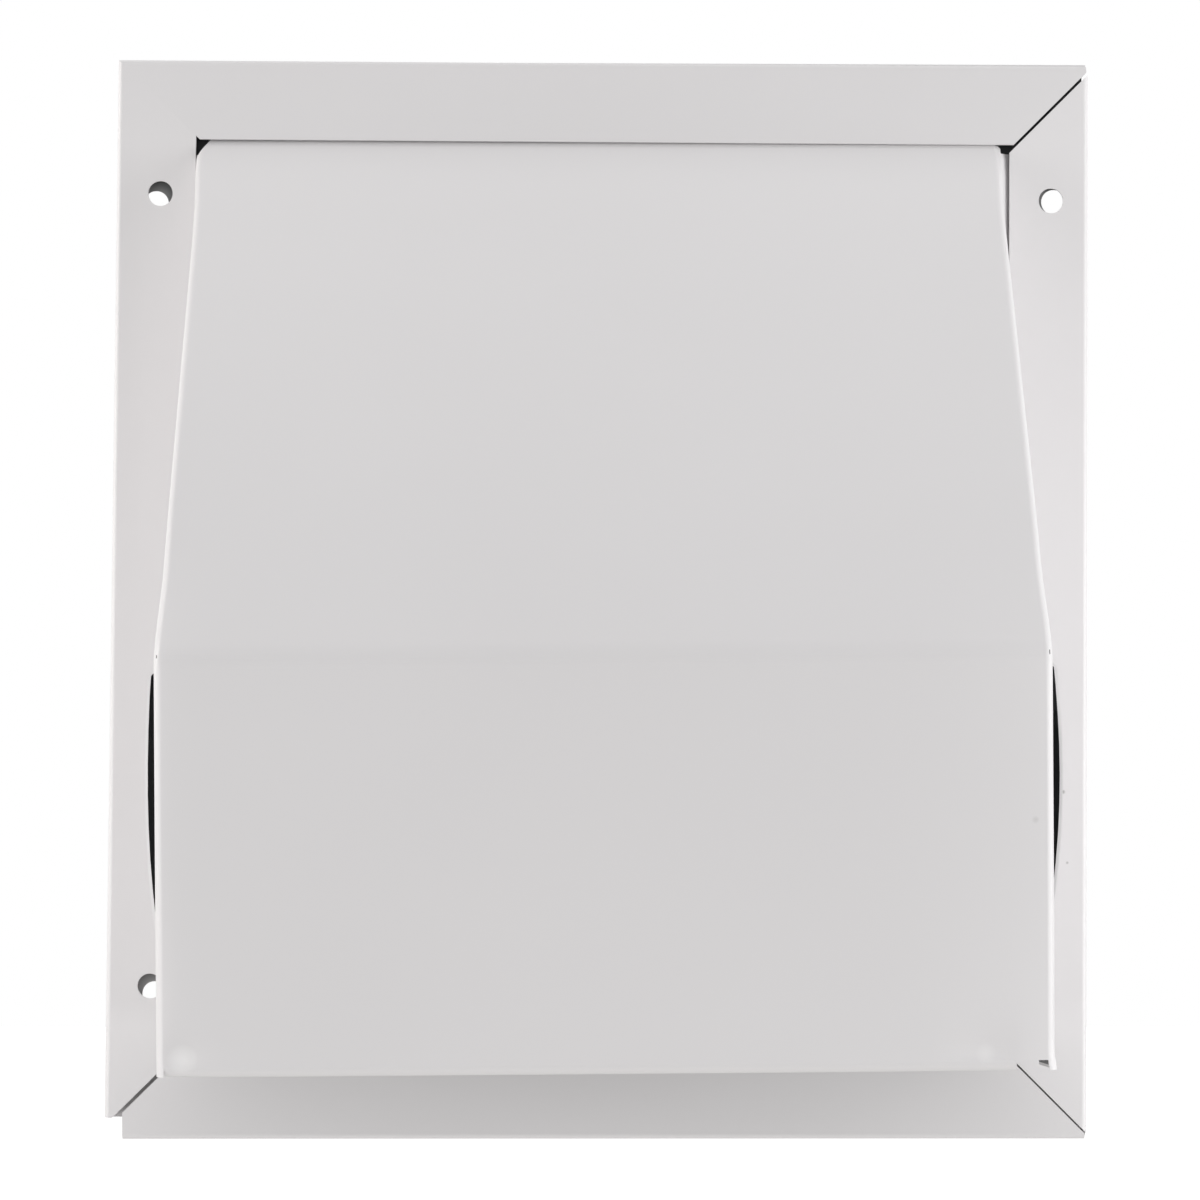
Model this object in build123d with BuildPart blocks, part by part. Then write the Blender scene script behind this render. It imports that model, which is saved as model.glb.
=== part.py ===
from build123d import *
from math import atan2, cos, hypot, radians, sin, tan
import os

# Wall exhaust hood for a round duct, in millimetres. Z is up, +Y runs into the wall and the hood stands
# out towards -Y. The origin is on the duct's axis, in the plane of the wall.

# Sheet metal of the plate, the hood and the collar
sheet = 0.6

# Duct collar
collar_diameter = 149.0
collar_length = 60.0  # behind the wall plane
collar_flange = 5.5
collar_bend = 1.0  # drawn as one flat
collar_lead = 6.0  # tapered end that enters the duct
collar_taper = 1.2
seam_lap = 8.0
plate_clearance = 0.1

# Damper: foam seal, flap with curled knuckles, wire rod in two lugs of the plate
seal_thickness = 3.0
seal_width = 4.6
flap_sheet = 0.5
flap_overlap = 4.2  # past the collar, all round
seal_gap = 0.1
hinge_rise = 4.0  # hinge line above the collar's flange
knuckle_fit = 0.08
knuckle_width = 14.0
knuckle_spacing = 40.0
knuckle_curl = 285.0  # degrees
lug_spacing = 76.0
lug_height = 8.0
lug_reach = 7.0  # in front of the wall plane
lug_corner = 2.0
lug_bend = 0.6
lug_fit = 0.1
lug_slot_gap = 0.4
rod_diameter = 2.4
rod_overhang = 5.0
rod_hook = 6.0
rod_bend = 2.0  # drawn as one flat

# Hood, folded from one sheet
flap_room = 7.8  # flap's edge to the inside of a cheek
hinge_headroom = 16.8  # hinge line to where the slope's face meets the face of the top flange
flap_cover = 13.3  # apron's lower edge below the flap's
hood_depth = 98.0  # wall to the face of the apron
apron_top = -10.6  # where the slope's face meets the apron's
bend_radius = 7.0  # slope to apron, outside
fold_radius = 1.6  # slope to cheek and apron to side return, outside
flange_radius = 1.5
flange_setback = 4.2  # top flange's edge below the fold of the plate's hem
hole_setback = 1.2  # cheek flange's edge short of the screw holes
fold_relief = 3.0  # the side folds start this far down the slope
left_relief_length = 6.0  # the left fold's upper corner is snipped off
left_relief_width = 3.5
cheek_setback = 6.0  # cheek's free front edge behind the face of the apron
side_return = 9.0
return_lean = 12.0  # degrees past square, so that the return lies inside the cheek
bottom_return = 8.0
return_radius = 2.0
corner_notch = 9.5  # bottom return's right end short of the side fold

# The cheeks' free front edges stand bowed outwards
cheek_bow = 2.4
left_bow_length = 63.0
right_bow_length = 57.0
bow_reach = 48.0  # how far back the bulge runs out

# The hood sits slightly aside in the hems and turned about its top
hood_shift = -0.4
hood_turn = 0.3  # degrees, right side up

# Back plate, measured from the hood, and its screw holes
top_margin = 16.2  # top of the slope to the plate's edge
fixing_offset = 9.7  # cheek's face to the screw holes
hole_inset = 9.2  # screw holes to the plate's edge
fixing_up = 171.6
fixing_hole = 5.4
fixing_right = 0.25  # the four holes sit a little off the duct's axis
fixing_rise = 0.2

# Plate edges turned over to the front as open hems
hem_radius = 0.7  # inside the fold
hem_opening = 4.5  # degrees that the strip stands off the plate
hem_root = 3.0  # flat plate that a hem is drawn with
end_hem_lap = 1.8  # free edge below the top of the slope
right_hem_gap = 1.6  # free edge to the cheek
left_hem_gap = 0.15  # the same, where they come closest

# The side hems were folded out of true: the left one turned, both too high
left_hem_skew = 0.65  # degrees
left_hole_rise = 2.2
right_hole_rise = 0.7
left_hole_inset = 9.6  # from the fold
upper_right_inset = 8.55
lower_right_inset = 9.9

# Corner mitres: distance off the bisector, towards the side hem's end, and the gap along the edge
top_right_shift = 2.0
top_right_gap = 0.8
bottom_right_shift = 0.0
bottom_right_gap = 0.8
bottom_left_shift = 2.4
bottom_left_gap = 1.1
top_right_trim = 0.5  # top hem's end short of the corner
bottom_left_trim = 4.0  # bottom hem's end short of the corner
left_hem_trim = 4.7  # left hem's lower end short of the corner

# Worked-out sizes
collar_radius = collar_diameter / 2
flap_radius = collar_radius + flap_overlap
flange_face = 2 * sheet
flap_face = flange_face + seal_thickness + seal_gap + flap_sheet
knuckle_radius = rod_diameter / 2 + knuckle_fit + flap_sheet
hinge_y = knuckle_radius - flap_face
hinge_height = collar_radius + collar_flange + hinge_rise
half_hood = flap_radius + flap_room + sheet
hood_top = hinge_height + hinge_headroom
apron_bottom = -flap_radius - flap_cover
slope_rise = hood_top - apron_top
slope_run = hood_depth - flange_face
slope_length = hypot(slope_rise, slope_run)
bend_angle = atan2(slope_run, slope_rise)
apron_start = apron_top - bend_radius * tan(bend_angle / 2)
cheek_rear = -flange_face - flange_radius
cheek_front = -hood_depth + cheek_setback
half_fixing = half_hood + fixing_offset
half_width = half_fixing + hole_inset
half_height = hood_top + top_margin
fold = hem_radius + sheet
lean = tan(radians(left_hem_skew))
end_hem = top_margin + end_hem_lap
right_width = half_width - half_hood - right_hem_gap
left_width = half_width - half_hood + hood_shift - left_hem_gap - hood_top * lean
hem_depth = max(end_hem, right_width, left_width) + fold
top_flange = top_margin - fold - flange_setback
cheek_flange = fixing_offset - fixing_hole / 2 - hole_setback


def mitred_end(reach, angle, overrun, trim):
    """Plan outline of one end of a hem: square as far as its trim, then cut along the mitre."""
    slope = tan(radians(angle))
    end = reach - max(trim, -overrun)
    square = max(0, (overrun + trim) * slope)
    return [(end, fold), (end, -square), (reach + overrun - hem_depth / slope, -hem_depth)]


def turned_edge(width, start, end, holes):
    """A hem along X. Its outermost line is the X axis, and its strip hangs in front of the plate."""
    rise = radians(hem_opening)
    strip_length = (width - fold + fold * sin(rise)) / cos(rise)
    with BuildPart() as hem:
        with BuildSketch(Plane.YZ):
            with BuildLine():
                Line((0, -fold - hem_root), (0, -fold))
                bend = CenterArc((-fold, -fold), fold, 0, 180 - hem_opening)
                Line(bend @ 1, bend @ 1 + (bend % 1) * strip_length)
                offset(amount=sheet, side=Side.LEFT)
            make_face()
        extrude(amount=2 * half_height, both=True)
        with BuildSketch(Plane.XZ.offset(-fold)):
            Polygon(*end, *[(-x, z) for x, z in reversed(start)], align=None)
        extrude(amount=width, mode=Mode.INTERSECT)
        if holes:
            root = bend @ 1
            face = Plane((0, root.X, root.Y), x_dir=(1, 0, 0), z_dir=(0, -cos(rise), sin(rise)))
            with BuildSketch(face):
                for x, inset in holes:
                    with Locations((x, (fold - inset) / cos(rise) - fold * tan(rise))):
                        Circle(fixing_hole / 2)
            extrude(amount=fold, both=True, mode=Mode.SUBTRACT)
    return hem.part


def slope_at(y, under=0):
    """Height of the slope's outer face at y, or of the line that lies under it by a distance."""
    return hood_top + (y + flange_face) * slope_rise / slope_run - under * slope_length / slope_run


# Hems
top_left_angle = 45 + left_hem_skew / 2
bottom_left_angle = 45 - left_hem_skew / 2
left_reach = half_height / cos(radians(left_hem_skew))
row = fixing_up / 2
top_hem = turned_edge(
    end_hem,
    mitred_end(half_width - half_height * lean, top_left_angle, 0, 0),
    mitred_end(half_width, 45, top_right_shift - top_right_gap / 2, top_right_trim),
    [],
)
right_hem = turned_edge(
    right_width,
    mitred_end(half_height, 45, -top_right_shift - top_right_gap / 2, 0),
    mitred_end(half_height, 45, -bottom_right_shift - bottom_right_gap / 2, 0),
    [(-row - right_hole_rise, upper_right_inset), (row - right_hole_rise, lower_right_inset)],
)
bottom_hem = turned_edge(
    end_hem,
    mitred_end(half_width, 45, bottom_right_shift - bottom_right_gap / 2, 0),
    mitred_end(
        half_width + half_height * lean,
        bottom_left_angle,
        bottom_left_shift - bottom_left_gap / 2,
        bottom_left_trim,
    ),
    [],
)
left_hem = turned_edge(
    left_width,
    mitred_end(left_reach, bottom_left_angle, -bottom_left_shift - bottom_left_gap / 2, left_hem_trim),
    mitred_end(left_reach, top_left_angle, 0, 0),
    [(left_hole_rise - row, left_hole_inset), (left_hole_rise + row, left_hole_inset)],
)

# Back plate: flat sheet, its four hems and the two lugs lanced out of it for the damper's rod
flat_top = half_height - fold
flat_right = half_width - fold
flat_left = -half_width + fold / cos(radians(left_hem_skew))
notch_right = bottom_left_trim - half_width - half_height * lean
notch_top = left_hem_trim - half_height
lug_face = lug_spacing / 2
lug_fold = lug_bend + sheet
with BuildPart() as back_plate:
    with BuildSketch(Plane.XZ):
        Polygon(
            (flat_left + notch_top * lean, notch_top),
            (notch_right, notch_top),
            (notch_right, -flat_top),
            (flat_right, -flat_top),
            (flat_right, flat_top),
            (flat_left + flat_top * lean, flat_top),
            align=None,
        )
        Circle(collar_radius + collar_bend + plate_clearance, mode=Mode.SUBTRACT)
        with Locations((fixing_right, fixing_rise)):
            with GridLocations(2 * half_fixing, fixing_up, 2, 2):
                Circle(fixing_hole / 2, mode=Mode.SUBTRACT)
        slot_middle = lug_face + lug_fold - lug_reach / 2
        with Locations((-slot_middle, hinge_height), (slot_middle, hinge_height)):
            Rectangle(lug_reach, lug_height + 2 * lug_slot_gap, mode=Mode.SUBTRACT)
    extrude(amount=sheet)
    with BuildSketch(Plane.XY.offset(hinge_height - lug_height / 2)):
        with BuildLine():
            Line((lug_face + 2 * lug_fold, 0), (lug_face + lug_fold, 0))
            bend = CenterArc((lug_face + lug_fold, -lug_fold), lug_fold, 90, 90)
            Line(bend @ 1, (lug_face, -lug_reach))
            offset(amount=sheet, side=Side.LEFT)
        make_face()
        mirror(about=Plane.YZ)
    extrude(amount=lug_height)
    fillet(back_plate.edges().filter_by(Axis.X).group_by(Axis.Y)[0], lug_corner)
    with BuildSketch(Plane.YZ.offset(-lug_spacing)):
        with Locations((hinge_y, hinge_height)):
            Circle(rod_diameter / 2 + lug_fit)
    extrude(amount=2 * lug_spacing, mode=Mode.SUBTRACT)
    with Locations(Location((0, 0, half_height))):
        add(top_hem)
    with Locations(Location((half_width, 0, 0), (0, 90, 0))):
        add(right_hem)
    with Locations(Location((0, 0, -half_height), (0, 180, 0))):
        add(bottom_hem)
    with Locations(Location((-half_width, 0, 0), (0, left_hem_skew - 90, 0))):
        add(left_hem)

# One side of the hood: rounded fold down the slope and the apron, cheek with its wall flange, side return
fold_start = -flange_face - fold_relief * slope_run / slope_length
with BuildPart() as hood_side:
    with BuildLine(Plane.YZ) as edge:
        FilletPolyline(
            (fold_start, slope_at(fold_start)),
            (-hood_depth, apron_top),
            (-hood_depth, apron_bottom),
            radius=bend_radius,
        )
    corner = edge.line @ 0 + Vector(half_hood - fold_radius, 0, 0)
    with BuildSketch(Plane(corner, x_dir=(1, 0, 0), z_dir=edge.line % 0)):
        with BuildLine():
            CenterArc((0, -fold_radius), fold_radius, 0, 90)
            offset(amount=sheet, side=Side.LEFT)
        make_face()
    sweep(path=edge.line)
    with BuildSketch(Plane.YZ.offset(half_hood - sheet)):
        Polygon(
            (cheek_rear, slope_at(cheek_rear, fold_radius)),
            (cheek_front, slope_at(cheek_front, fold_radius)),
            (cheek_front, apron_bottom),
            (cheek_rear, apron_bottom),
            align=None,
        )
    extrude(amount=sheet)
    with BuildSketch(Plane.XY.offset(apron_bottom)):
        with BuildLine():
            bend = CenterArc((half_hood + flange_radius, cheek_rear), flange_radius, 180, -90)
            Line(bend @ 1, (half_hood + cheek_flange, -flange_face))
            offset(amount=sheet, side=Side.LEFT)
        make_face()
    extrude(amount=slope_at(cheek_rear, fold_radius) - apron_bottom)
    with BuildSketch(Plane.XY.offset(apron_bottom)):
        with BuildLine():
            middle = (half_hood - fold_radius, -hood_depth + fold_radius)
            turn = CenterArc(middle, fold_radius, 0, return_lean)
            Line(turn @ 1, turn @ 1 + (turn % 1) * side_return)
            offset(amount=sheet, side=Side.LEFT)
        make_face()
    extrude(amount=apron_start - apron_bottom)


def bulge(length, inward):
    """The bowed part of a cheek's front edge, running out to a point on the cheek."""
    top = slope_at(cheek_front, fold_radius)
    face = half_hood - inward
    with BuildPart() as cone:
        with BuildSketch(Plane.XZ.offset(-cheek_front)) as section:
            with BuildLine():
                ThreePointArc((face, top), (face + cheek_bow, top - length / 2), (face, top - length))
                Line((face, top - length), (face, top))
            make_face()
        tip = Vertex(face, cheek_front + bow_reach, top - length / 2)
        loft(sections=[section.sketch.face(), tip])
    return cone.part


# Hood: slope, apron and flanges as one profile, with both sides added
with BuildPart() as flat_hood:
    with BuildSketch(Plane.YZ):
        with BuildLine():
            FilletPolyline(
                (-flange_face, hood_top + top_flange),
                (-flange_face, hood_top),
                (-hood_depth, apron_top),
                (-hood_depth, apron_bottom + return_radius),
                radius=[flange_radius, bend_radius],
            )
            offset(amount=sheet, side=Side.LEFT)
        make_face()
    extrude(amount=half_hood - fold_radius, both=True)
    with BuildSketch(Plane.YZ.offset(fold_radius - half_hood)):
        with BuildLine():
            bend = CenterArc(
                (-hood_depth + return_radius, apron_bottom + return_radius), return_radius, 180, 90
            )
            Line(bend @ 1, bend @ 1 + (bend % 1) * bottom_return)
            offset(amount=sheet, side=Side.LEFT)
        make_face()
    extrude(amount=2 * (half_hood - fold_radius) - corner_notch)
    add(hood_side.part)
    mirror(hood_side.part, about=Plane.YZ)
    add(bulge(right_bow_length, 0))
    add(bulge(right_bow_length, sheet), mode=Mode.SUBTRACT)
    mirror(bulge(left_bow_length, 0), about=Plane.YZ)
    mirror(bulge(left_bow_length, sheet), about=Plane.YZ, mode=Mode.SUBTRACT)
    left_corner = (-half_hood, -flange_face, hood_top)
    with BuildSketch(Plane(left_corner, x_dir=(1, 0, 0), z_dir=(0, -slope_rise, slope_run))):
        Polygon((0, 0), (left_relief_width, 0), (0, -left_relief_length), align=None)
    extrude(amount=fold_radius, both=True, mode=Mode.SUBTRACT)

with BuildPart() as hood:
    with Locations(Location((hood_shift, 0, hood_top), (0, -hood_turn, 0)) * Location((0, 0, -hood_top))):
        add(flat_hood.part)

# Duct collar: rolled tube with a lapped seam inside, flanged over the front of the plate
with BuildPart() as duct_collar:
    with BuildSketch(Plane.XY):
        with BuildLine():
            Polyline(
                (collar_radius + collar_flange, -sheet),
                (collar_radius + collar_bend, -sheet),
                (collar_radius, collar_bend - sheet),
                (collar_radius, collar_length - collar_lead),
                (collar_radius - collar_taper, collar_length),
            )
            offset(amount=sheet, side=Side.LEFT, kind=Kind.INTERSECTION)
        make_face()
    revolve(axis=Axis.Y)
    with BuildSketch(Plane.XZ):
        with Locations((0, sheet - collar_radius)):
            Rectangle(seam_lap, sheet, align=(Align.CENTER, Align.MIN))
    extrude(amount=-(collar_length - collar_lead))

# Foam seal on the collar's flange
with BuildPart() as damper_seal:
    with BuildSketch(Plane.XZ.offset(flange_face)):
        Circle(collar_radius + collar_flange)
        Circle(collar_radius + collar_flange - seal_width, mode=Mode.SUBTRACT)
    extrude(amount=seal_thickness)

# Damper flap: round sheet with two tongues curled round the rod
with BuildPart() as damper_flap:
    with BuildSketch(Plane.XZ.offset(flap_face - flap_sheet)):
        Circle(flap_radius)
        with GridLocations(knuckle_spacing, 0, 2, 1):
            Rectangle(knuckle_width, hinge_height, align=(Align.CENTER, Align.MIN))
    extrude(amount=flap_sheet)
    knuckle_start = (knuckle_spacing - knuckle_width) / 2
    with BuildSketch(Plane.YZ.offset(knuckle_start), Plane.YZ.offset(-knuckle_start - knuckle_width)):
        with BuildLine():
            CenterArc((hinge_y, hinge_height), knuckle_radius, 180, -knuckle_curl)
            offset(amount=flap_sheet, side=Side.RIGHT)
        make_face()
    extrude(amount=knuckle_width)

# Hinge rod: wire through the lugs, its ends bent up outside them
rod_end = lug_face + rod_overhang
with BuildPart() as hinge_rod:
    with BuildLine(Plane.XZ.offset(-hinge_y)) as wire:
        Polyline(
            (-rod_end, hinge_height + rod_hook),
            (-rod_end, hinge_height + rod_bend),
            (rod_bend - rod_end, hinge_height),
            (rod_end - rod_bend, hinge_height),
            (rod_end, hinge_height + rod_bend),
            (rod_end, hinge_height + rod_hook),
        )
    with BuildSketch(Plane(wire.line @ 0, z_dir=wire.line % 0)):
        Circle(rod_diameter / 2)
    sweep(path=wire.line, transition=Transition.RIGHT)

os.makedirs("parts", exist_ok=True)
pieces = {
    "back_plate": back_plate,
    "hood": hood,
    "duct_collar": duct_collar,
    "damper_seal": damper_seal,
    "damper_flap": damper_flap,
    "hinge_rod": hinge_rod,
}
for name, piece in pieces.items():
    piece.part.label = name
    export_step(piece.part, f"parts/{name}.step")
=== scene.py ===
import math

import bmesh
import bpy
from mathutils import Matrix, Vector


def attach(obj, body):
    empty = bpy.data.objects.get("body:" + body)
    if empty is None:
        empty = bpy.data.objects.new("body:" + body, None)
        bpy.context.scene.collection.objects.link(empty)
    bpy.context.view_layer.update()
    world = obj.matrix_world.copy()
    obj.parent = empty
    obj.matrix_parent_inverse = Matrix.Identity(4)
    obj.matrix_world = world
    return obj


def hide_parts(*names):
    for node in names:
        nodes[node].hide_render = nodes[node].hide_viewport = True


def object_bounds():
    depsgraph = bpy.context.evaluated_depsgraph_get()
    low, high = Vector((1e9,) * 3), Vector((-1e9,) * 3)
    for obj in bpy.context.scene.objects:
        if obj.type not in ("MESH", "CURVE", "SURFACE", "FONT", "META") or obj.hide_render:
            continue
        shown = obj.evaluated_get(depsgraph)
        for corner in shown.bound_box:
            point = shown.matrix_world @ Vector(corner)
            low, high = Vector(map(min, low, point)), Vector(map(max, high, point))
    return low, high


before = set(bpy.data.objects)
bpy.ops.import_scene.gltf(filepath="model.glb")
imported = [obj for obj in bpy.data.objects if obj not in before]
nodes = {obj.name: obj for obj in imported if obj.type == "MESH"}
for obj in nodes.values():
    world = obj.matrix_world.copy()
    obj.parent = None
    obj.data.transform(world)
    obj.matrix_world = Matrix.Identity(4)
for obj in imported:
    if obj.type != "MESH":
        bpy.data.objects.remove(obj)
cad_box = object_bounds()
scene = bpy.context.scene

# Back plate
# One galvanised sheet of 0.6 mm, its four edges turned over to the front as open hems. It is sprayed white,
# and its face behind hood and hems is coloured dark primer, partly primer and partly painted shade.
MM = 0.001
plate_face = -0.6
plate_half_width = 106
plate_half_height = 117
hem_width = 18
hem_back = -1.8  # the hems' sheets lie in front of this
mouth = -94  # below this height the plate's face is open to the spray gun and stays white; above it the dark primer is painted shade
screw_holes = [(-96.5, 86.0), (-96.5, -85.6), (97.0, 86.0), (97.0, -85.6)]
slack = 0.1  # places closer than this count as one


def linear(hex_colour):
    """sRGB hex to the linear colour that a socket takes."""
    values = [int(hex_colour[i:i + 2], 16) / 255 for i in (1, 3, 5)]
    return [v / 12.92 if v <= 0.04045 else ((v + 0.055) / 1.055) ** 2.4 for v in values] + [1.0]


def add_node(tree, kind, settings=None, links=None):
    """Adds a node, sets its properties and sockets and links its inputs."""
    node = tree.nodes.new(kind)
    for name, value in (settings or {}).items():
        if isinstance(name, int) or name in node.inputs:
            node.inputs[name].default_value = value
        else:
            setattr(node, name, value)
    for name, source in (links or {}).items():
        tree.links.new(source, node.inputs[name])
    return node


def new_material(name, shader_settings):
    """A node material with its shader and the Object coordinates that its patterns are drawn on."""
    material = bpy.data.materials.new(name)
    material.use_nodes = True
    tree = material.node_tree
    tree.nodes.clear()
    shader = add_node(tree, "ShaderNodeBsdfPrincipled", shader_settings)
    add_node(tree, "ShaderNodeOutputMaterial", {}, {"Surface": shader.outputs["BSDF"]})
    place = add_node(tree, "ShaderNodeTexCoord").outputs["Object"]
    return material, tree, shader, place


def soft_step(value):
    """0 below 0, 1 above 1 and a smooth rise between."""
    value = min(max(value, 0), 1)
    return value * value * (3 - 2 * value)


sheet_grid = 4  # the copies of the two sheets are cut this fine where they take soft bends
merge_distance = 0.001 * MM
flat_angle = math.radians(0.2)  # triangles that differ by less are one flat


def cut_sheet(node, x_lines, z_lines):
    """A merged copy of a folded sheet's mesh, its flat faces cut along lines given in millimetres."""
    sheet = bmesh.new()
    sheet.from_mesh(nodes[node].data)
    bmesh.ops.remove_doubles(sheet, verts=sheet.verts, dist=merge_distance)
    bmesh.ops.dissolve_limit(sheet, angle_limit=flat_angle, verts=sheet.verts, edges=sheet.edges)
    for axis, lines in (((1, 0, 0), x_lines), ((0, 0, 1), z_lines)):
        for line in lines:
            everything = sheet.verts[:] + sheet.edges[:] + sheet.faces[:]
            bmesh.ops.bisect_plane(
                sheet, geom=everything, dist=merge_distance, plane_co=Vector(axis) * line * MM, plane_no=axis
            )
    return sheet


round_bend = math.radians(28)  # the facets of a round bend differ by less than this
mitre_crease = math.radians(2)  # two wide flats that differ by more meet in a sharp crease
wide_flat = 150 * MM * MM


def finish_sheet(name, node, sheet, materials):
    """Makes the piece that stands for a folded sheet: round bends smooth, cut edges and mitres sharp."""
    for edge in sheet.edges:
        wide = min(face.calc_area() for face in edge.link_faces) > wide_flat
        edge.smooth = edge.calc_face_angle(0) < (mitre_crease if wide else round_bend)
    for face in sheet.faces:
        face.smooth = True
    mesh = bpy.data.meshes.new(name)
    sheet.to_mesh(mesh)
    sheet.free()
    for material in materials:
        mesh.materials.append(material)
    piece = bpy.data.objects.new(name, mesh)
    scene.collection.objects.link(piece)
    normals = piece.modifiers.new("normals", "WEIGHTED_NORMAL")
    normals.keep_sharp = True
    normals.weight = 100
    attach(piece, "housing")
    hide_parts(node)


# Satin polyester spray paint: opaque white, smooth, a faint orange peel about 2 mm across in its gloss, and
# slow changes of tone where the coat is thicker. A scuff on the apron and two specks on the right hem are
# grey, and the pale spots at the apron's two knocks are painted highlights, glints of the lamps in the dents.
coat_patch = 70 * MM
orange_peel, peel_depth = 2.2 * MM, 0.006 * MM
scuffed, painted_glint = "#8A8784", "#FAF9F9"
marks = [  # place, radius, strength, colour
    ((84.15, -97, -42.7), 0.9, 0.25, scuffed),
    ((100.7, -3, -41.5), 0.55, 0.6, scuffed),
    ((101.6, -3, -56.9), 0.4, 0.6, scuffed),
    # the two pale spots below are painted highlights, lamp glints in the dents
    ((-80.9, -97.2, -89.2), 3.2, 0.75, painted_glint),
    ((74.7, -97.4, -87.9), 2.4, 0.35, painted_glint),
]
mark_core = 0.3  # share of a mark's radius that has its full strength
white_paint, tree, shader, place = new_material("satin_white_spray_paint", {"IOR": 1.5})
patches = add_node(tree, "ShaderNodeTexNoise", {"Scale": 1 / coat_patch, "Detail": 2.0}, {"Vector": place})
tone = add_node(tree, "ShaderNodeMix", {
    "data_type": "RGBA", "A": linear("#E4E2E3"), "B": linear("#E8E6E7"),
}, {"Factor": patches.outputs["Fac"]})
for mark, radius, strength, colour in marks:
    distance = add_node(tree, "ShaderNodeVectorMath", {
        "operation": "DISTANCE", 1: Vector(mark) * MM,
    }, {0: place})
    spot = add_node(tree, "ShaderNodeMapRange", {
        "From Min": mark_core * radius * MM, "From Max": radius * MM, "To Min": strength, "To Max": 0.0,
    }, {"Value": distance.outputs["Value"]})
    tone = add_node(tree, "ShaderNodeMix", {"data_type": "RGBA", "B": linear(colour)}, {
        "Factor": spot.outputs["Result"], "A": tone.outputs["Result"],
    })
tree.links.new(tone.outputs["Result"], shader.inputs["Base Color"])
gloss = add_node(tree, "ShaderNodeMapRange", {"To Min": 0.30, "To Max": 0.38}, {
    "Value": patches.outputs["Fac"],
})
tree.links.new(gloss.outputs["Result"], shader.inputs["Roughness"])
peel = add_node(tree, "ShaderNodeTexNoise", {"Scale": 1 / orange_peel, "Detail": 1.0}, {"Vector": place})
bump = add_node(tree, "ShaderNodeBump", {"Strength": 0.25, "Distance": peel_depth}, {
    "Height": peel.outputs["Fac"],
})
tree.links.new(bump.outputs["Normal"], shader.inputs["Normal"])

# Dark grey primer, matt and a little cloudy, coloured this dark as painted shade inside the hood and under
# the hems, with white overspray that drifted in at the mouth and through the screw holes.
primer_and_shade_cloud = 18 * MM
overspray = linear("#D8D7D7")
mouth_dust, mouth_reach = 0.9, 26
hole_dust, hole_edge, hole_dust_end = 0.45, 2.5, 6
primer_and_painted_shade, tree, shader, place = new_material("dark_primer_and_painted_shade", {"Roughness": 0.62, "IOR": 1.5})
clouds = add_node(tree, "ShaderNodeTexNoise", {"Scale": 1 / primer_and_shade_cloud, "Detail": 4.0}, {"Vector": place})
# the dark greys are painted shade laid on the primer coat
primer_and_shade_tone = add_node(tree, "ShaderNodeMix", {
    "data_type": "RGBA", "A": linear("#2E3032"), "B": linear("#3E4042"),
}, {"Factor": clouds.outputs["Fac"]})
height = add_node(tree, "ShaderNodeSeparateXYZ", {}, {"Vector": place})
drift = add_node(tree, "ShaderNodeMapRange", {
    "From Min": (mouth + mouth_reach) * MM, "From Max": mouth * MM, "To Max": mouth_dust,
}, {"Value": height.outputs["Z"]})
speckle = add_node(tree, "ShaderNodeMath", {"operation": "MULTIPLY"}, {
    0: drift.outputs["Result"], 1: clouds.outputs["Fac"],
})
dusted = add_node(tree, "ShaderNodeMix", {"data_type": "RGBA", "B": overspray}, {
    "Factor": speckle.outputs["Value"], "A": primer_and_shade_tone.outputs["Result"],
})
for hole_x, hole_z in screw_holes:
    distance = add_node(tree, "ShaderNodeVectorMath", {
        "operation": "DISTANCE", 1: Vector((hole_x, plate_face, hole_z)) * MM,
    }, {0: place})
    dust = add_node(tree, "ShaderNodeMapRange", {
        "From Min": hole_edge * MM, "From Max": hole_dust_end * MM, "To Min": hole_dust, "To Max": 0.0,
    }, {"Value": distance.outputs["Value"]})
    dusted = add_node(tree, "ShaderNodeMix", {"data_type": "RGBA", "B": overspray}, {
        "Factor": dust.outputs["Result"], "A": dusted.outputs["Result"],
    })
tree.links.new(dusted.outputs["Result"], shader.inputs["Base Color"])

# The small misfits of the hems: the left one's lower end is pressed flatter, the top one runs down to the
# right, and at the right two mitres and the upper screw hole lie a little out of place.
end_press, press_top, press_fade = 0.5, -88, 22
press_cuts = range(-112, press_top + 1, sheet_grid)
top_fold_drop = 0.003  # for each millimetre to the right
top_edge_rise, top_edge_start, top_edge_fall = 0.6, -82, 0.0042
top_corner_lap = 1  # the top hem's right end reaches this far past its mitre
hole_moves = [  # hole, in the hem or in the plate, move
    ((97.43, 86.5), True, (0.35, 0.45)),
    ((97.05, 86.0), False, (1.6, 0.9)),
]
hole_reach = 3.2
right_corners = 80  # the mitres at the right lie beyond this
bottom_mitre, bottom_mitre_move, bottom_hem_end = -11.4, 1.1, 105.5
right_mitre, right_mitre_move = -10.6, 0.8
mitre_slack = 0.03
plate = cut_sheet("back_plate", [], sorted([mouth, *press_cuts]))
# Above the mouth the plate's face takes the dark primer: painted shade behind the hood and under the hems.
for face in plate.faces:
    _, y, z = face.calc_center_median() / MM
    face.material_index = 1 if z > mouth and abs(y - plate_face) < slack else 0
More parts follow.
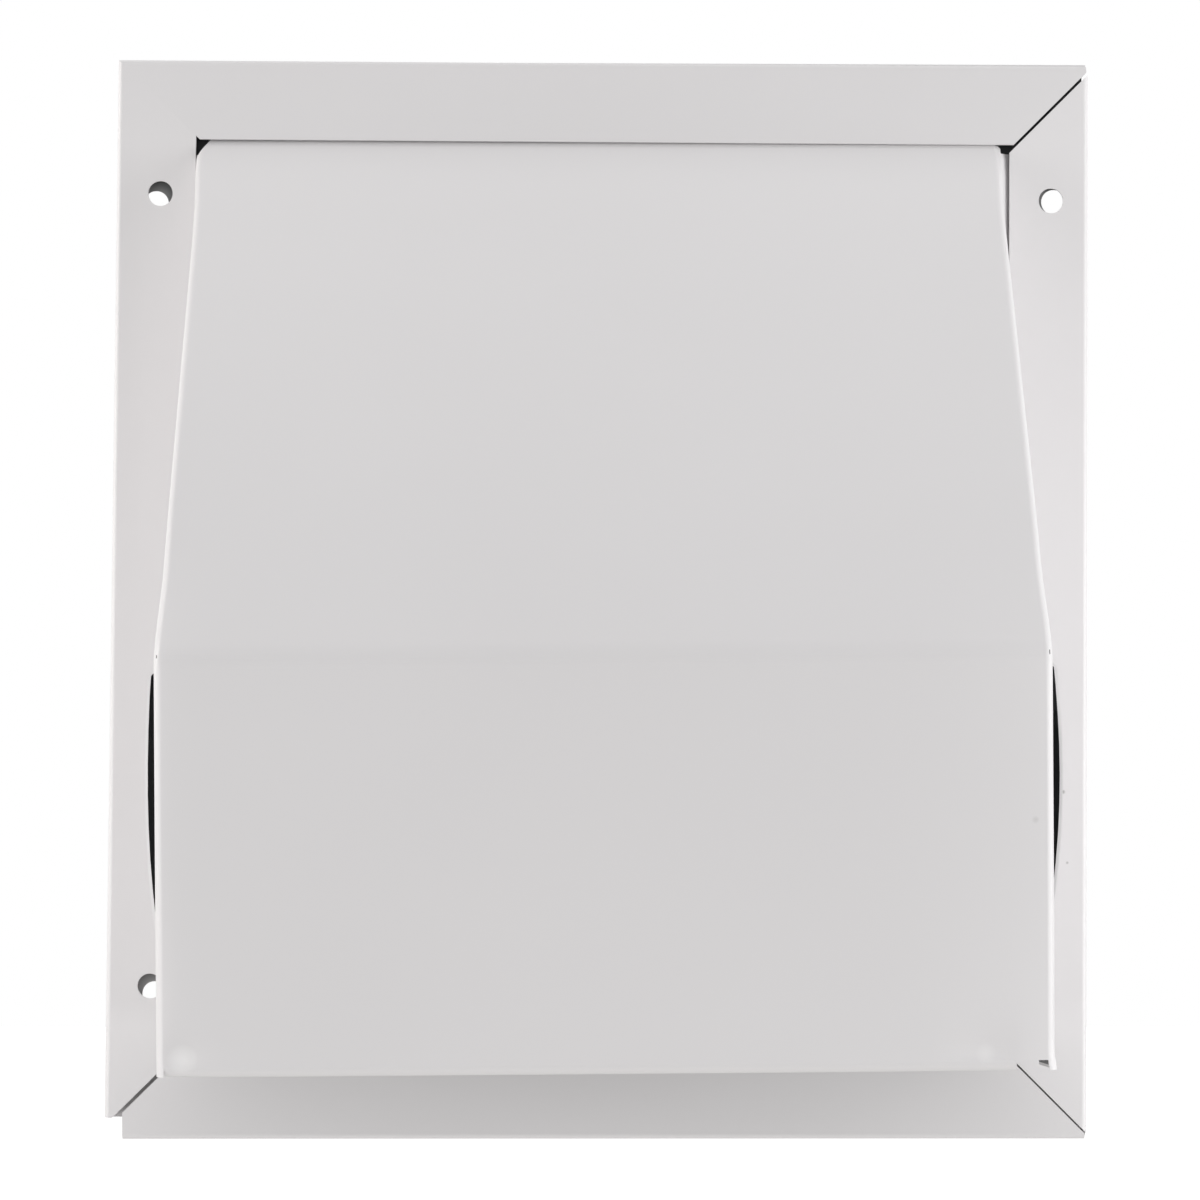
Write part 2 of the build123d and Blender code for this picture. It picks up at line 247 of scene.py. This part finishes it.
for vert in plate.verts:
    x, y, z = vert.co / MM
    from_left, from_right = x + plate_half_width, plate_half_width - x
    from_top, from_bottom = plate_half_height - z, z + plate_half_height
    on_hem, folded = y < hem_back, y < plate_face - slack / 2
    if on_hem and from_left < min(hem_width, from_bottom):
        y += end_press * soft_step((press_top - z) / press_fade) * from_left / hem_width
    if folded and from_top < min(hem_width + slack, from_left + slack, from_right + top_corner_lap):
        fold_move = -top_fold_drop * from_left
        edge_move = top_edge_rise - top_edge_fall * (x - top_edge_start)
        z += fold_move + (edge_move - fold_move) * from_top / hem_width
    for (hole_x, hole_z), in_hem, (move_x, move_z) in hole_moves:
        if on_hem == in_hem and math.hypot(x - hole_x, z - hole_z) < hole_reach:
            x, z = x + move_x, z + move_z
    if folded and x > right_corners and abs(x + z - bottom_mitre) < mitre_slack:
        x = min(x + bottom_mitre_move, bottom_hem_end)
    elif folded and x > right_corners and abs(x + z - right_mitre) < mitre_slack:
        z += right_mitre_move
    vert.co = Vector((x, y, z)) * MM
finish_sheet("back_plate_sheet", "back_plate", plate, [white_paint, primer_and_painted_shade])

# Duct collar and flap
# The collar is rolled from hot-dip galvanised sheet with a lapped seam, flanged over the plate's face and
# welded to it. The flap that hangs in front of it is cut from such sheet too. The zinc shows its spangle,
# crystals about 9 mm across that differ in tone and gloss.
spangle = 9 * MM
zinc_mottle, mottle_depth = 1.6 * MM, 0.03 * MM
galvanised, tree, shader, place = new_material("hot_dip_galvanised_steel", {"Metallic": 1.0})
crystals = add_node(tree, "ShaderNodeTexVoronoi", {"Scale": 1 / spangle}, {"Vector": place})
mottle = add_node(tree, "ShaderNodeTexNoise", {"Scale": 1 / zinc_mottle, "Detail": 3.0}, {"Vector": place})
crystal = add_node(tree, "ShaderNodeSeparateColor", {}, {"Color": crystals.outputs["Color"]})
zinc = add_node(tree, "ShaderNodeMix", {
    "data_type": "RGBA", "A": linear("#A3A8AB"), "B": linear("#BEC2C4"),
}, {"Factor": crystal.outputs["Red"]})
tree.links.new(zinc.outputs["Result"], shader.inputs["Base Color"])
shine = add_node(tree, "ShaderNodeMapRange", {"To Min": 0.34, "To Max": 0.52}, {
    "Value": crystal.outputs["Green"],
})
tree.links.new(shine.outputs["Result"], shader.inputs["Roughness"])
bump = add_node(tree, "ShaderNodeBump", {"Strength": 0.3, "Distance": mottle_depth}, {
    "Height": mottle.outputs["Fac"],
})
tree.links.new(bump.outputs["Normal"], shader.inputs["Normal"])
for name in ("duct_collar", "damper_flap"):
    nodes[name].data.materials.clear()
    nodes[name].data.materials.append(galvanised)

# Foam seal
# A flat ring cut from black closed-cell foam and glued to the collar's flange, where the closed flap rests.
# Its skin is dull and finely pored.
foam_cell, cell_depth = 0.9 * MM, 0.2 * MM
foam, tree, shader, place = new_material("black_closed_cell_foam", {"Roughness": 0.92, "IOR": 1.45})
cells = add_node(tree, "ShaderNodeTexVoronoi", {"Scale": 1 / foam_cell}, {"Vector": place})
skin = add_node(tree, "ShaderNodeMix", {
    "data_type": "RGBA", "A": linear("#1D1E20"), "B": linear("#313235"),
}, {"Factor": cells.outputs["Distance"]})
tree.links.new(skin.outputs["Result"], shader.inputs["Base Color"])
bump = add_node(tree, "ShaderNodeBump", {"Strength": 0.6, "Distance": cell_depth}, {
    "Height": cells.outputs["Distance"],
})
tree.links.new(bump.outputs["Normal"], shader.inputs["Normal"])
nodes["damper_seal"].data.materials.clear()
nodes["damper_seal"].data.materials.append(foam)

# Hinge rod
# Zinc-plated steel wire of 2.4 mm, pushed through the two lugs and bent up at both ends. Drawing left fine
# lines along it, drawn here 0.3 mm apart, coarser than they are, so that they show.
drawn_line = 0.3 * MM
line_length = 25 * MM
zinc_wire, tree, shader, place = new_material("zinc_plated_wire", {"Metallic": 1.0})
along = add_node(tree, "ShaderNodeMapping", {"Scale": (1 / line_length, 1 / drawn_line, 1 / drawn_line)}, {
    "Vector": place,
})
lines = add_node(tree, "ShaderNodeTexNoise", {"Scale": 1.0, "Detail": 2.0}, {
    "Vector": along.outputs["Vector"],
})
plating = add_node(tree, "ShaderNodeMix", {
    "data_type": "RGBA", "A": linear("#B4B6B4"), "B": linear("#D2D3CF"),
}, {"Factor": lines.outputs["Fac"]})
tree.links.new(plating.outputs["Result"], shader.inputs["Base Color"])
shine = add_node(tree, "ShaderNodeMapRange", {"To Min": 0.2, "To Max": 0.36}, {"Value": lines.outputs["Fac"]})
tree.links.new(shine.outputs["Result"], shader.inputs["Roughness"])
nodes["hinge_rod"].data.materials.clear()
nodes["hinge_rod"].data.materials.append(zinc_wire)

# Hood
# One sheet of 0.6 mm folded by hand: slope, apron, cheeks and returns. The apron rolls back a little towards
# its sides, and two knocks near its lower corners left shallow dents. White outside; inside, a primer
# coloured dark as painted shade.
hood_half = 87.1
hood_shift = -0.4
hood_turn = math.radians(0.3)
hood_top = 100.8
hood_depth = 98
apron_top = -10.6
apron_bottom = -92
flange_face = -1.2
fine_x = [-86, -85, -83, -81.5, -79, 81.5, 83, 85, 86, 87.2, 87.7, 88.3, 89, 90, 91]  # at tight bends
fine_z = [
    -91, -90, -89, -87, -86, -15, -14.6, -14.3, -13.9, -13.5, -13, -12.5, -11.5, -11, 98, 99, 99.6,
]
even_x, even_z = range(-84, 87, sheet_grid), range(-88, 112, sheet_grid)
hood = cut_sheet("hood", sorted([*fine_x, *even_x]), sorted([*fine_z, *even_z]))


def in_hood(x, z):
    """A place on the wall seen from the hood's own axes, which are shifted and turned about its top."""
    return x - hood_shift + (z - hood_top) * hood_turn, z - (x - hood_shift) * hood_turn


def slope_height(up):
    """How far the slope stands out at a height."""
    return hood_depth - max(up - apron_top, 0) * (hood_depth + flange_face) / (hood_top - apron_top)


# The outside, the mouth's rim and a strip of each flange are white. The faces inside the hood and the flanges
# under the hems take the dark primer, partly primer and partly painted shade in those recesses. Each face is
# judged by a point in front of it.
judged_at = 0.3
skin_depth = 0.45  # a point further in than this is inside the hood
white_rim, white_return = 0.9, 1.6
cheek_zone, faces_in, top_corner = 3, 0.8, 8
flange_zone, side_flange_white, top_flange_white = 0.4, 2.3, 0.6
for face in hood.faces:
    x, y, z = (face.calc_center_median() + face.normal * judged_at * MM) / MM
    across, up = in_hood(x, z)
    above_rim = up > apron_bottom + white_rim and y + up > apron_bottom - hood_depth + white_return
    between_cheeks = abs(across) < hood_half - skin_depth
    below_slope = between_cheeks and skin_depth - slope_height(up) < y < plate_face - slack
    turned_in = face.normal.x * x < -faces_in * abs(x)
    inner_cheek = turned_in and abs(across) > hood_half - cheek_zone and up < hood_top - top_corner
    past_white = abs(across) > hood_half + side_flange_white or up > hood_top + top_flange_white
    under_hem = y > flange_face - flange_zone and past_white
    # index 1 is the dark primer, painted shade inside the hood and under the hems
    face.material_index = 1 if above_rim and (below_slope or inner_cheek or under_hem) else 0

# Bends of the sheet. The apron's sides roll back, more so lower down, and the knocks dent it.
apron_zone, apron_fade = 70, 25
left_roll, left_fade = 1.5, 5.5  # how far the sides stand back, and over what width
right_roll, right_fade = 1.8, 16
more_roll, more_roll_top, more_roll_fade = 0.5, -40, 50
dents = [((-80.5, -88), 1.0, 3.5), ((74.2, -87), 0.7, 4)]  # place, depth, radius
# The slope's upper edge springs forward to the top hem, most on the left, and its side folds draw in between
# their ends.
slope_spring, spring_start, spring_fade, spring_end, spring_end_fade = 0.42, 72, 24, 101.6, 1.4
slope_pull, pull_bottom, pull_top, pull_fade, pull_from_wall, pull_wall_fade = 0.5, -8, 96, 14, 3, 8
# The cheeks' free front edges bow out below a corner, above which the sheet is held back.
cheek_front, bow_reach, bow, bow_top, held_back = -92, 48, 2.4, -6.1, 0.8
cheek_sheet, edge_slack = 1, 0.001
bows = {  # length, free corner, its rise, spring at the corner, fade of that
    -1: (63, -13.6, 0.8, 0.55, 7),
    1: (57, -12.0, 2.2, 0.35, 5),
}
# A soft bend at the right cheek's foot, lower where the cheek itself is low.
foot_lift, foot_width, foot_room = 4.0, 4.2, 12
foot_lift_share, foot_height_share, least_height = 0.75, 0.9, 1
foot_bottom, foot_fade = -80, 40
# The bottom return reaches nearly to the right side, whose own return flares at its lower end.
return_end, return_stretch, return_fade, return_height, return_front = 76.6, 3.5, 12, 2.1, -86
tab_flare, tab_top, tab_fade, tab_width, tab_front = 0.4, -88, 3.5, 2, -84
# The apron hangs turned a little more than the slope's top.
more_turn, turn_top, turn_fade = math.radians(0.15), 96, 20
for vert in hood.verts:
    x, y, z = vert.co / MM
    across, up = in_hood(x, z)
    side = 1 if x > 0 else -1
    bow_length, corner, rise, corner_spring, corner_fade = bows[side]
    shrink = 1 - (y - cheek_front) / bow_reach

    on_apron = soft_step((-y - apron_zone) / apron_fade)
    low = 1 + more_roll * soft_step((more_roll_top - z) / more_roll_fade)
    y += on_apron * low * left_roll * math.exp(-(across + hood_half) / left_fade)
    y += on_apron * low * right_roll * math.exp(-(hood_half - across) / right_fade)
    for (dent_x, dent_z), depth, radius in dents:
        y += on_apron * depth * math.exp(-((x - dent_x) ** 2 + (z - dent_z) ** 2) / radius ** 2)
    sprung = soft_step((up - spring_start) / spring_fade) * soft_step((spring_end - up) / spring_end_fade)
    y -= slope_spring * (1 - across / hood_half) * sprung

    if abs(across) > hood_half - cheek_sheet and 0 < shrink <= 1 + edge_slack:
        off_middle = (up - bow_top + bow_length / 2) / (shrink * bow_length / 2)
        stand = shrink * bow * max(0, 1 - off_middle ** 2)
        free = soft_step((corner - up) / rise)
        sprung = free * corner_spring * math.exp((up - corner) / corner_fade)
        x += side * stand * ((free - 1) * held_back + sprung)

    foot, cheek_height = across - hood_half, slope_height(up) + flange_face
    above_foot = (flange_face - y) / max(foot_height_share * cheek_height, least_height)
    if -cheek_sheet < foot < foot_width and y > -foot_room and above_foot < 1:
        lift = min(foot_lift, foot_lift_share * cheek_height) * soft_step((up - foot_bottom) / foot_fade)
        y -= lift * (1 - max(foot, 0) / foot_width) ** 2 * (1 - max(above_foot, 0))

    drawn_in = soft_step((up - pull_bottom) / pull_fade) * soft_step((pull_top - up) / pull_fade)
    drawn_in *= soft_step((-y - pull_from_wall) / pull_wall_fade)
    x -= slope_pull * drawn_in * across / hood_half

    if up < apron_bottom + return_height and y < return_front and x < return_end + slack:
        x += return_stretch * soft_step(1 + (x - return_end) / return_fade)
    if x > hood_half - tab_width and y < tab_front:
        x += tab_flare * soft_step((tab_top - z) / tab_fade)
    hang = more_turn * soft_step((turn_top - z) / turn_fade)
    x, z = x + (hood_top - z) * hang, z + (x - hood_shift) * hang
    vert.co = Vector((x, y, z)) * MM
finish_sheet("hood_sheet", "hood", hood, [white_paint, primer_and_painted_shade])

# Studio
# White ground far below and a plain white surround. Narrow soft boxes on both sides graze the hems close to
# the plane of the wall, two wider ones stand lower in front of them, and one hangs above, behind the hood.
ground_drop = 600 * MM
stage_size = 6.0
ground_glow = 0.6  # seen by the camera only
surround_light, surround_white = 0.57, 1.0
grid = bmesh.new()
bmesh.ops.create_grid(grid, x_segments=1, y_segments=1, size=stage_size)
bmesh.ops.translate(grid, verts=grid.verts, vec=(0, 0, cad_box[0][2] - ground_drop))
mesh = bpy.data.meshes.new("ground")
grid.to_mesh(mesh)
grid.free()
ground = bpy.data.objects.new("ground", mesh)
scene.collection.objects.link(ground)
matt_white, tree, shader, _ = new_material("matt_white_ground", {
    "Base Color": linear("#F2F1EF"), "Roughness": 0.9, "Emission Color": (1, 1, 1, 1),
})
path = add_node(tree, "ShaderNodeLightPath")
seen = add_node(tree, "ShaderNodeMath", {"operation": "MULTIPLY", 1: ground_glow}, {
    0: path.outputs["Is Camera Ray"],
})
tree.links.new(seen.outputs["Value"], shader.inputs["Emission Strength"])
mesh.materials.append(matt_white)

world = bpy.data.worlds.new("white_surround")
scene.world = world
world.use_nodes = True
tree = world.node_tree
tree.nodes.clear()
path = add_node(tree, "ShaderNodeLightPath")
mirrored = add_node(tree, "ShaderNodeMath", {"operation": "MAXIMUM"}, {
    0: path.outputs["Is Camera Ray"], 1: path.outputs["Is Glossy Ray"],
})
direct = add_node(tree, "ShaderNodeMath", {"operation": "MAXIMUM"}, {
    0: mirrored.outputs["Value"], 1: path.outputs["Is Transmission Ray"],
})
level = add_node(tree, "ShaderNodeMix", {
    "data_type": "FLOAT", "A": surround_light, "B": surround_white,
}, {"Factor": direct.outputs["Value"]})
surround = add_node(tree, "ShaderNodeBackground", {"Color": (1, 1, 1, 1)}, {"Strength": level.outputs[0]})
add_node(tree, "ShaderNodeOutputWorld", {}, {"Surface": surround.outputs["Background"]})


def soft_box(name, place, target, width, height, watts, colour):
    """A rectangular studio lamp that faces a point, in metres and watts."""
    light = bpy.data.lights.new(name, "AREA")
    light.shape = "RECTANGLE"
    light.size = width
    light.size_y = height
    light.energy = watts
    light.color = linear(colour)[:3]
    lamp = bpy.data.objects.new(name, light)
    lamp.location = place
    lamp.rotation_euler = (Vector(target) - Vector(place)).to_track_quat("-Z", "Y").to_euler()
    scene.collection.objects.link(lamp)


soft_box("left_edge", (-0.6, -0.12, 0), (0, -0.05, 0), 0.2, 0.7, 0.4, "#FFFBF6")
soft_box("left_wall", (-0.6, 0.0, 0.2), (0, 0, 0.05), 0.1, 0.6, 0.98, "#FFFBF6")
soft_box("left_low", (-0.6, -0.4, -0.15), (0, -0.05, -0.05), 0.4, 0.4, 1.06, "#FFFFFF")
soft_box("right_edge", (0.6, -0.12, 0.1), (0, -0.05, 0.03), 0.2, 0.7, 1.22, "#FFFFFF")
soft_box("right_low", (0.6, -0.4, -0.15), (0, -0.05, -0.05), 0.4, 0.4, 1.32, "#FFFFFF")
soft_box("top_back", (0, 0.08, 0.8), (0, -0.03, 0), 0.8, 0.3, 0.85, "#FFFFFF")

# Camera
# It looks square at the wall from about 0.86 m, almost in the middle of the hood. Its angles are in degrees,
# its focal length and the picture's centre in pixels.
photo_width = 1200
focal_pixels = 3971.1
camera_place = Vector((-2.49, -864.5, -2.94)) * MM
camera_yaw, camera_pitch, camera_roll = 0.897, 0.135, 0.099
centre_x, centre_y = 650.9, 604.4
lens = bpy.data.cameras.new("camera")
lens.sensor_width = 36
lens.lens = focal_pixels * lens.sensor_width / photo_width
lens.shift_x = (photo_width / 2 - centre_x) / photo_width
lens.shift_y = (centre_y - photo_width / 2) / photo_width
lens.clip_start = 0.01
camera = bpy.data.objects.new("camera", lens)
camera.location = camera_place
camera.rotation_euler = [math.radians(a) for a in (90 + camera_pitch, -camera_roll, -camera_yaw)]
scene.collection.objects.link(camera)
scene.camera = camera
scene.view_settings.view_transform = "Standard"
